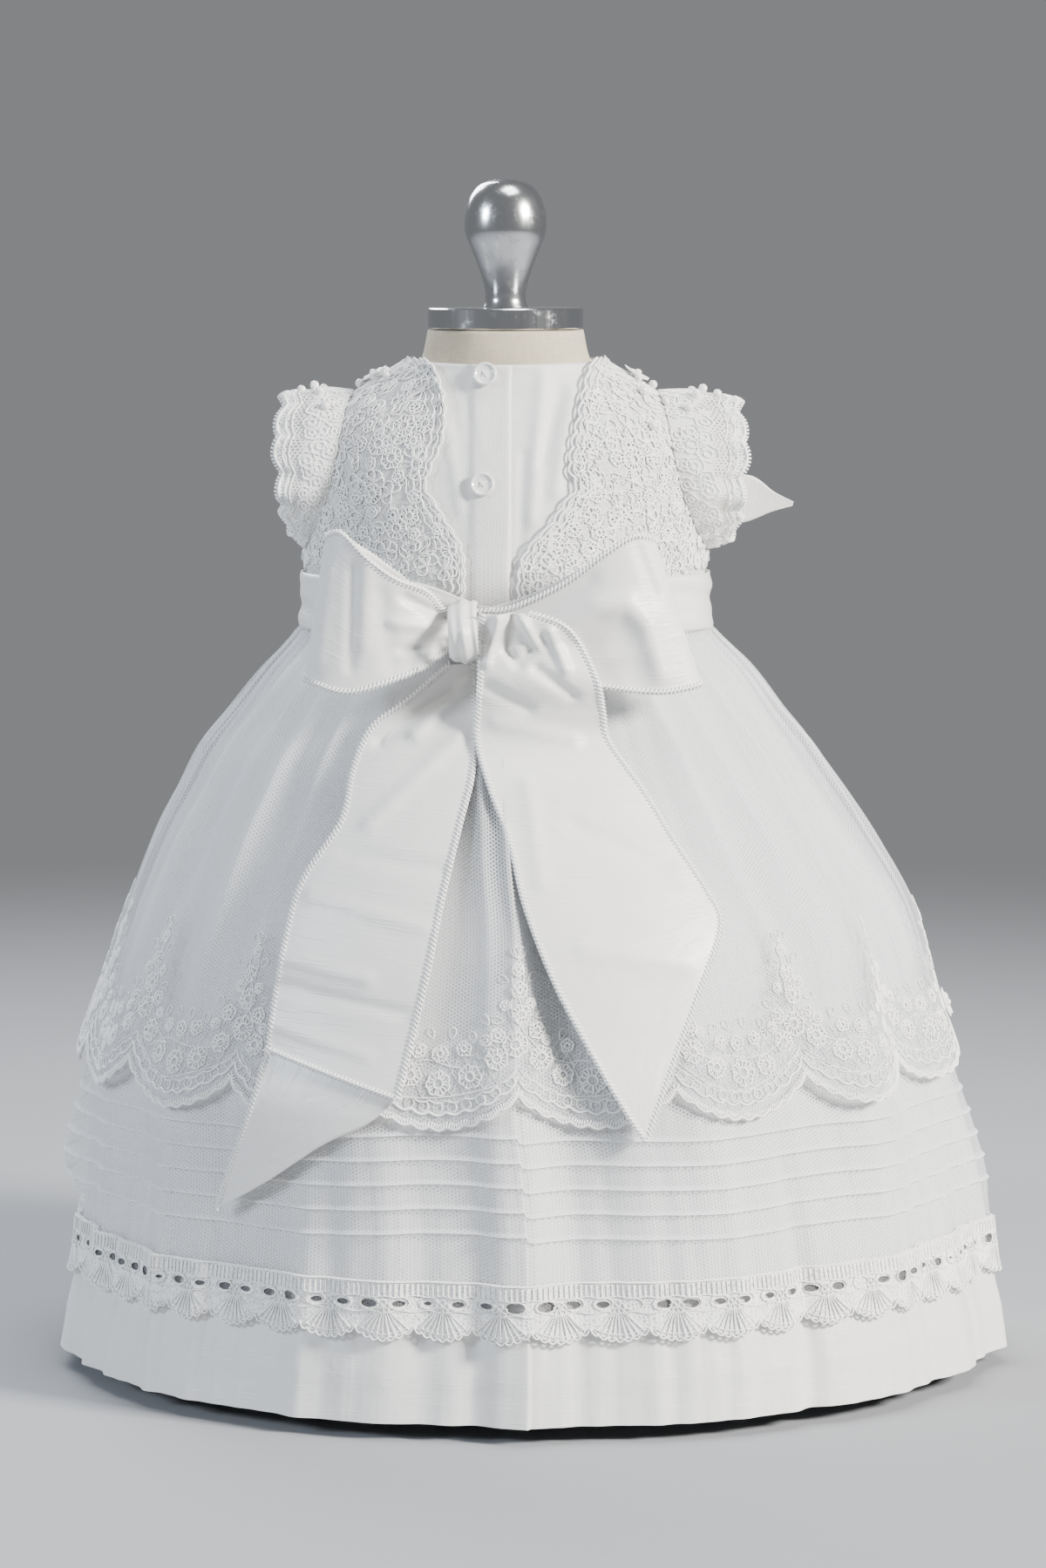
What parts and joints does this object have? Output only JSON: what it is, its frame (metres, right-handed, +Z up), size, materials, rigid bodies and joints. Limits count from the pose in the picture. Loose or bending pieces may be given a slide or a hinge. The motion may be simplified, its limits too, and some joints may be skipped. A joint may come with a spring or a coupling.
{
  "type": "christening gown on a dress form",
  "caption": "Christening gown worn by a limbless dress form on a round stand: satin skirt under net skirts, raised lace, cap sleeves and a sash bow at the buttoned back.",
  "frame": {"origin": "middle of the stand's underside, on the surface it stands on", "axes": "+Z up; -Y towards the gown's buttoned back, where the bow is; +X towards the wearer's right"},
  "size_m": [0.437, 0.3885, 0.5447],
  "materials": {
    "satin": "satin",
    "net": "sheer",
    "lace": "matte",
    "linen": "matte",
    "steel": "polished",
    "pearl": "gloss"
  },
  "bodies": {
    "root": {"form_torso": "linen", "form_cap": "steel", "form_knob": "steel", "form_pole": "steel", "form_base": "steel", "bodice_front": "satin", "bodice_back_left": "satin", "bodice_back_right": "satin", "lace_back_left": "lace", "lace_back_right": "lace", "lace_front_left": "lace", "lace_front_right": "lace", "cap_sleeve_left": "lace", "cap_sleeve_right": "lace", "underskirt_front_left": "satin", "underskirt_front_right": "satin", "underskirt_back_left": "satin", "underskirt_back_right": "satin", "tucked_skirt_front": "net", "tucked_skirt_back_left": "net", "tucked_skirt_back_right": "net", "overskirt_front": "net", "overskirt_back_left": "net", "overskirt_back_right": "net", "lace_edging_front": "lace", "lace_edging_back_left": "lace", "lace_edging_back_right": "lace", "sash_band": "satin", "bow_loop_left": "satin", "bow_loop_right": "satin", "bow_knot": "satin", "bow_tail_left": "satin", "bow_tail_right": "satin", "front_ribbon_end": "satin", "button_upper": "pearl", "button_lower": "pearl", "flower_shoulder_left": "satin", "flower_shoulder_right": "satin", "flower_waist_left": "satin", "flower_waist_right": "satin", "flower_skirt_right": "satin"}
  },
  "joints": []
}
